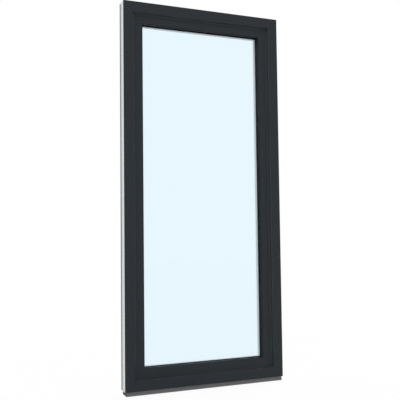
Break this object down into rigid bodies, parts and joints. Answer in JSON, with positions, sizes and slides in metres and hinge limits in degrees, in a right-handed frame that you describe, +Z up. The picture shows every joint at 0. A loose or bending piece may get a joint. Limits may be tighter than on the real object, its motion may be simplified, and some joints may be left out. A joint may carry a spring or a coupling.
{
  "type": "french window",
  "caption": "Tall inward-opening glazed leaf in a mitred plastic frame, dark outside and white inside, on a sill connection profile, with a lever handle and side hinges",
  "frame": {"origin": "centre of the underside of the base profile, where the window stands on its sill", "axes": "+X to the right seen from outside, +Y from the outside towards the room, +Z up"},
  "size_m": [0.94, 0.1608, 2.122],
  "materials": {
    "laminated_profile": "anthracite embossed film on the outside, white on the room side",
    "white_profile": "smooth white",
    "grey_base": "plain grey extrusion",
    "glass": "clear with a pale blue tint",
    "spacer": "black warm-edge spacer",
    "gasket": "black",
    "setting_block": "plain moulded",
    "white_fitting": "white powder coat",
    "steel": "bright zinc"
  },
  "bodies": {
    "root": {"base_profile": "grey_base", "frame_head": "laminated_profile", "frame_left_jamb": "laminated_profile", "frame_right_jamb": "laminated_profile", "frame_bottom_rail": "laminated_profile", "sash_top_rail": "laminated_profile", "sash_left_stile": "laminated_profile", "sash_right_stile": "laminated_profile", "sash_bottom_rail": "laminated_profile", "glazing_bead_top": "white_profile", "glazing_bead_left": "white_profile", "glazing_bead_right": "white_profile", "glazing_bead_bottom": "white_profile", "outer_pane": "glass", "inner_pane": "glass", "glass_spacer": "spacer", "frame_stop_gasket": "gasket", "sash_overlap_gasket": "gasket", "outer_glazing_gasket": "gasket", "inner_glazing_gasket": "gasket", "setting_blocks": "setting_block", "handle_rosette": "white_fitting", "handle_neck": "white_fitting", "handle_grip": "white_fitting", "lower_hinge_frame_leaf": "white_fitting", "lower_hinge_sash_leaf": "white_fitting", "lower_hinge_pin": "steel", "upper_hinge_frame_leaf": "white_fitting", "upper_hinge_sash_leaf": "white_fitting", "upper_hinge_pin": "steel"}
  },
  "joints": []
}
